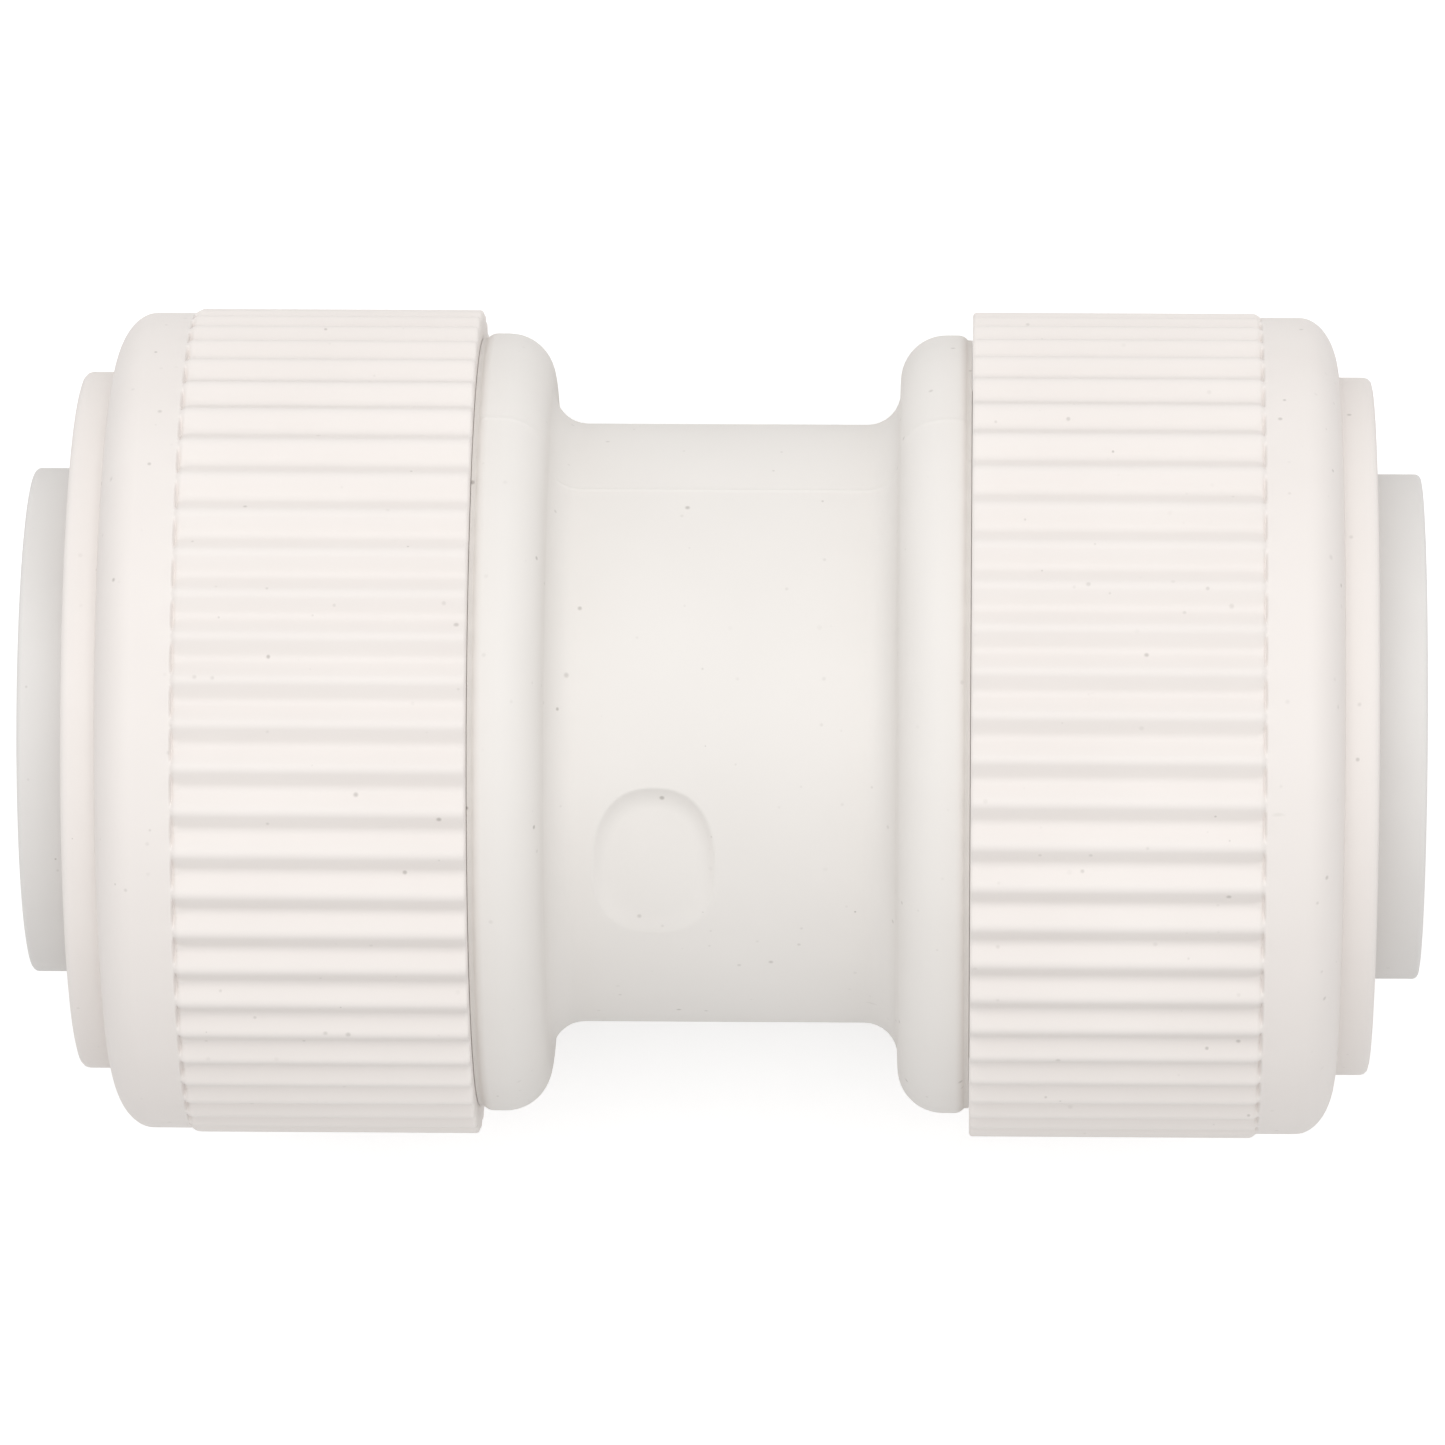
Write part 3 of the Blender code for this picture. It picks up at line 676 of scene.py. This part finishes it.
def threadRise(angles, heights):
    # how far the two-start ridges stand out of the neck, angles and heights taken from that end's side
    turned = heights - thread["start"] - thread["lead"] * angles / fullTurn
    away = (turned + threadPitch / 2) % threadPitch - threadPitch / 2
    rise = np.clip((thread["footHalf"] - np.abs(away)) / (thread["footHalf"] - thread["crestHalf"]), 0, 1)
    fadeIn = smoothStep((heights - thread["start"]) / thread["fade"])
    fadeOut = smoothStep((thread["end"] - heights) / thread["fade"])
    return rise * fadeIn * fadeOut * (thread["crestRadius"] - body["neckRadius"])


def recessDepth(angles, heights):
    # the shallow oval pad moulded into the tube: steep at its rim, easing to the floor, fading to one side
    sideways = (angles - math.radians(recess["angle"])) * body["tubeRadius"] - recess["shift"]
    power = recess["squareness"]
    along = np.abs((heights - recess["centre"]) / recess["halfLength"])
    across = sideways / recess["halfWidth"]
    reach = (along ** power + np.abs(across) ** power) ** (1 / power)
    inside = np.clip((1 - reach) * recess["halfLength"] / recess["edge"], 0, 1)
    left = 1 - recess["fade"] * np.clip((across + 1) / 2, 0, 1) ** recess["fadePower"]
    return (1 - (1 - inside) ** 2) * left * recess["depth"]


def makeBody():
    outside, bore = bodyHalf()
    tubeRows = spread(*body["plainTubeRows"]) + spread(*body["recessTubeRows"])
    tube = straightRows(body["tubeRadius"], tubeRows)
    corners = outside + tube + mirrored(outside) + mirrored(bore) + bore
    outline = roundedOutline(corners, steps=3)
    angles = bodyColumns()
    radius, height = outlineGrids(outline, len(angles))
    around = np.repeat(angles[None, :], len(outline), 0)
    outer = radius > body["tubeRadius"] - body["skinMargin"]
    pastFlange, fromMouth = body["threadMargins"]
    neck = (outer & (np.abs(height) > body["flangeFace"] + pastFlange)
            & (np.abs(height) < body["mouth"] - fromMouth))
    radius = radius + neck * (height > 0) * threadRise(around, height)
    radius = radius + neck * (height < 0) * threadRise(math.pi - around, -height)
    onTube = outer & (np.abs(height) < body["tubeEnd"])
    radius = radius - onTube * recessDepth(around, height)
    moulded = outer & (np.abs(height) < body["flangeFace"] - partLine["margin"])
    for line in partLine["angles"]:
        off = (around - math.radians(line)) * body["flangeRadius"]
        radius = radius + moulded * partLine["height"] * np.exp(-(off / partLine["width"]) ** 2)
    mesh = skinMesh("bodyShell", radius, height, angles, True)
    finishPiece("body_shell", mesh, bodyPlastic, "body", ["coupling_body"],
                ends["right"]["turn"], creaseAngle=50)


makeBody()
print("body ready")


collet = {
    "headRadius": 10.2, "headFace": 28.0, "headBack": 26.0, "boreRadius": 7.65, "neckRadius": 9.0,
    "rampEnd": 21.8, "bulgeRadius": 10.6, "bulgeEnd": 20.4, "tip": 18.5,
    "edges": (0.25, 0.22, 0.12, 0.1, 0.4, 0.2, 0.25, 0.1), "columns": 192,
    "armCount": 8, "slotWidth": 0.9, "slotEnd": 25.2,
    "cutInside": 0.8, "cutOutside": 0.6, "cutPastTip": 0.6,  # how far the cutters reach past the wall
}
tooth = {"height": 19.5, "thickness": 0.35, "width": 2.2, "middleRadius": 8.5, "columns": 11, "room": 0.15,
         "pointRadius": 7.35, "pointHalf": 0.02, "groundLength": 0.5, "groundHalf": 0.12,
         "fullStart": 8.6, "fullEnd": 9.6, "backRadius": 9.7, "backHalf": 0.12}
seal = {"radius": 8.6, "section": 1.2, "height": 13.95, "sectionSteps": 28, "columns": 144}
spacer = {"innerRadius": 7.8, "outerRadius": 11.6, "low": 15.5, "high": 17.1,
          "edges": (0.15, 0.25, 0.2, 0.15), "columns": 144}


def blockMesh(name, low, high):
    bm = bmesh.new()
    bmesh.ops.create_cube(bm, size=1.0)
    for vert in bm.verts:
        vert.co = Vector([(low[k] if vert.co[k] < 0 else high[k]) for k in range(3)]) * mm
    mesh = bpy.data.meshes.new(name)
    bm.to_mesh(mesh)
    bm.free()
    return mesh


def cutAway(mesh, cutters):
    target = bpy.data.objects.new("cutTarget", mesh)
    bpy.context.scene.collection.objects.link(target)
    tools = []
    for cutter in cutters:
        tool = bpy.data.objects.new("cutTool", cutter)
        bpy.context.scene.collection.objects.link(tool)
        tools.append(tool)
        modifier = target.modifiers.new("cut", "BOOLEAN")
        modifier.operation = "DIFFERENCE"
        modifier.solver = "EXACT"
        modifier.object = tool
    graph = bpy.context.evaluated_depsgraph_get()
    result = bpy.data.meshes.new_from_object(target.evaluated_get(graph))
    for obj in tools + [target]:
        bpy.data.objects.remove(obj)
    return result


def colletCutters(spin, toothSpin):
    # the slots between the arms, open at the tips, and one pocket through each arm for its tooth
    inner = collet["boreRadius"] - collet["cutInside"]
    slotHalf = collet["slotWidth"] / 2
    slot = blockMesh("slot", (inner, -slotHalf, collet["tip"] - collet["cutPastTip"]),
                     (collet["bulgeRadius"] + collet["cutOutside"], slotHalf, collet["slotEnd"]))
    pocketHalf = tooth["width"] / 2 + tooth["room"]
    pocketRise = tooth["thickness"] / 2 + tooth["room"]
    pocket = blockMesh("pocket", (inner, -pocketHalf, tooth["height"] - pocketRise),
                       (tooth["backRadius"] + tooth["room"], pocketHalf, tooth["height"] + pocketRise))
    return [repeatRound(slot, collet["armCount"], spin, colletPlastic),
            repeatRound(pocket, collet["armCount"], toothSpin, colletPlastic)]


def makeCollet(side):
    spin = math.radians(ends[side]["colletSpin"])
    toothSpin = spin + fullTurn / collet["armCount"] / 2
    corners = withEdges([
        (collet["boreRadius"], collet["headFace"]), (collet["headRadius"], collet["headFace"]),
        (collet["headRadius"], collet["headBack"]), (collet["neckRadius"], collet["headBack"]),
        (collet["neckRadius"], collet["rampEnd"]), (collet["bulgeRadius"], collet["bulgeEnd"]),
        (collet["bulgeRadius"], collet["tip"]), (collet["boreRadius"], collet["tip"]),
    ], collet["edges"])
    shell = repaired(turnedMesh("colletShell", roundedOutline(corners), collet["columns"]))
    mesh = cutAway(shell, colletCutters(spin, toothSpin))
    finishPiece(side + "_collet_shell", mesh, colletPlastic, side + "_collet_set", [side + "_collet"],
                ends[side]["turn"], creaseAngle=35)
    makeTeeth(side, toothSpin)


def toothUnit():
    # a blade whose front edge is hollow-ground to the pipe's curve
    rings = [(tooth["pointRadius"], tooth["pointHalf"]),
             (tooth["pointRadius"] + tooth["groundLength"], tooth["groundHalf"]),
             (tooth["fullStart"], tooth["thickness"] / 2), (tooth["fullEnd"], tooth["thickness"] / 2),
             (tooth["backRadius"], tooth["backHalf"])]
    outline = rings + [(r, -half) for r, half in reversed(rings)]
    sweep = tooth["width"] / 2 / tooth["middleRadius"]
    angles = np.linspace(-sweep, sweep, tooth["columns"])
    radius, height = outlineGrids(outline, tooth["columns"])
    return repaired(skinMesh("toothBlade", radius, height + tooth["height"], angles, False), fill=True)


def makeTeeth(side, spin):
    mesh = repeatRound(toothUnit(), collet["armCount"], spin, toothSteel)
    nodes = [side + "_grip_tooth_" + str(i + 1) for i in range(collet["armCount"])]
    finishPiece(side + "_grip_teeth", mesh, toothSteel, side + "_collet_set", nodes,
                ends[side]["turn"], creaseAngle=30)


def makeSeal(side):
    section = arcRows((seal["radius"], seal["height"]), (seal["section"],) * 2,
                      90, -270, seal["sectionSteps"])
    mesh = turnedMesh("sealRing", roundedOutline(section[:-1]), seal["columns"])
    finishPiece(side + "_seal_ring", mesh, sealRubber, "body", [side + "_o_ring"],
                ends[side]["turn"])


def makeSpacer(side):
    corners = withEdges([
        (spacer["innerRadius"], spacer["high"]), (spacer["outerRadius"], spacer["high"]),
        (spacer["outerRadius"], spacer["low"]), (spacer["innerRadius"], spacer["low"]),
    ], spacer["edges"])
    mesh = turnedMesh("spacerRing", roundedOutline(corners), spacer["columns"])
    finishPiece(side + "_spacer_shell", mesh, spacerPlastic, side + "_spacer", [side + "_spacer_ring"],
                ends[side]["turn"])


for side in ends:
    makeCollet(side)
    makeSeal(side)
    makeSpacer(side)
print("collets, teeth, seals and spacer rings ready")


studio = {
    "distance": 0.49, "lens": 301.5, "sensor": 36.0, "nearest": 0.01,
    "yaw": 1.2, "roll": 0.3, "aim": (-0.00016, 0.00002, 0.0),
    "skyLean": 13.0, "skyLow": 0.41, "skyHigh": 0.955,
    "keyPlace": (0.0, 0.165, 0.65), "keySize": 0.6, "keyPower": 1.55,
    "floorHalf": 3.0, "floorDrop": 0.02, "floorColour": (0.80, 0.80, 0.80, 1), "floorGlow": 0.38,
    "floorRoughness": 0.9,
}


def makeSky():
    # a white sky, brightest overhead and a little to the back, fading evenly away from there
    world = bpy.data.worlds.new("studioSky")
    bpy.context.scene.world = world
    world.use_nodes = True
    tree = world.node_tree
    lean = math.radians(studio["skyLean"])
    toward = vectorNode(tree, "DOT_PRODUCT")
    feed(tree, toward.inputs[0], tree.nodes.new("ShaderNodeTexCoord").outputs["Generated"])
    feed(tree, toward.inputs[1], (0.0, math.sin(lean), math.cos(lean)))
    glow = rangeNode(tree, toward.outputs["Value"], -1.0, 1.0, studio["skyLow"], studio["skyHigh"])
    background = tree.nodes["Background"]
    background.inputs["Color"].default_value = white
    feed(tree, background.inputs["Strength"], glow)


def makeKeyLight():
    data = bpy.data.lights.new("softKey", "AREA")
    data.size = studio["keySize"]
    data.energy = studio["keyPower"]
    lamp = bpy.data.objects.new("softKey", data)
    lamp.location = studio["keyPlace"]
    lamp.rotation_euler = (-Vector(studio["keyPlace"])).to_track_quat("-Z", "Y").to_euler()
    bpy.context.scene.collection.objects.link(lamp)


def makeCamera():
    # looks straight down on the coupling, which lies on the floor
    data = bpy.data.cameras.new("studioCamera")
    data.lens = studio["lens"]
    data.sensor_width = studio["sensor"]
    data.clip_start = studio["nearest"]
    camera = bpy.data.objects.new("studioCamera", data)
    bpy.context.scene.collection.objects.link(camera)
    yaw, roll = math.radians(studio["yaw"]), math.radians(studio["roll"])
    away = Vector((math.sin(yaw), 0.0, math.cos(yaw))) * studio["distance"]
    place = Matrix.Translation(Vector(studio["aim"]) + away)
    camera.matrix_world = place @ Matrix.Rotation(yaw, 4, "Y") @ Matrix.Rotation(roll, 4, "Z")
    bpy.context.scene.camera = camera


def makeFloor():
    half = studio["floorHalf"]
    z = cadBox[0][2] - studio["floorDrop"] * mm
    corners = [(-half, -half, z), (half, -half, z), (half, half, z), (-half, half, z)]
    mesh = bpy.data.meshes.new("studioFloor")
    mesh.from_pydata(corners, [], [(0, 1, 2, 3)])
    material, tree, shader = startMaterial("paleFloor")
    shader.inputs["Base Color"].default_value = studio["floorColour"]
    shader.inputs["Roughness"].default_value = studio["floorRoughness"]
    shader.inputs["Emission Color"].default_value = white
    seen = tree.nodes.new("ShaderNodeLightPath")  # the glow is for the eye only and lights nothing
    glow = mathNode(tree, "MULTIPLY", seen.outputs["Is Camera Ray"], studio["floorGlow"])
    feed(tree, shader.inputs["Emission Strength"], glow)
    mesh.materials.append(material)
    floor = bpy.data.objects.new("studioFloor", mesh)
    bpy.context.scene.collection.objects.link(floor)


makeSky()
makeKeyLight()
makeCamera()
makeFloor()
bpy.context.scene.view_settings.view_transform = "Standard"
print("studio ready")
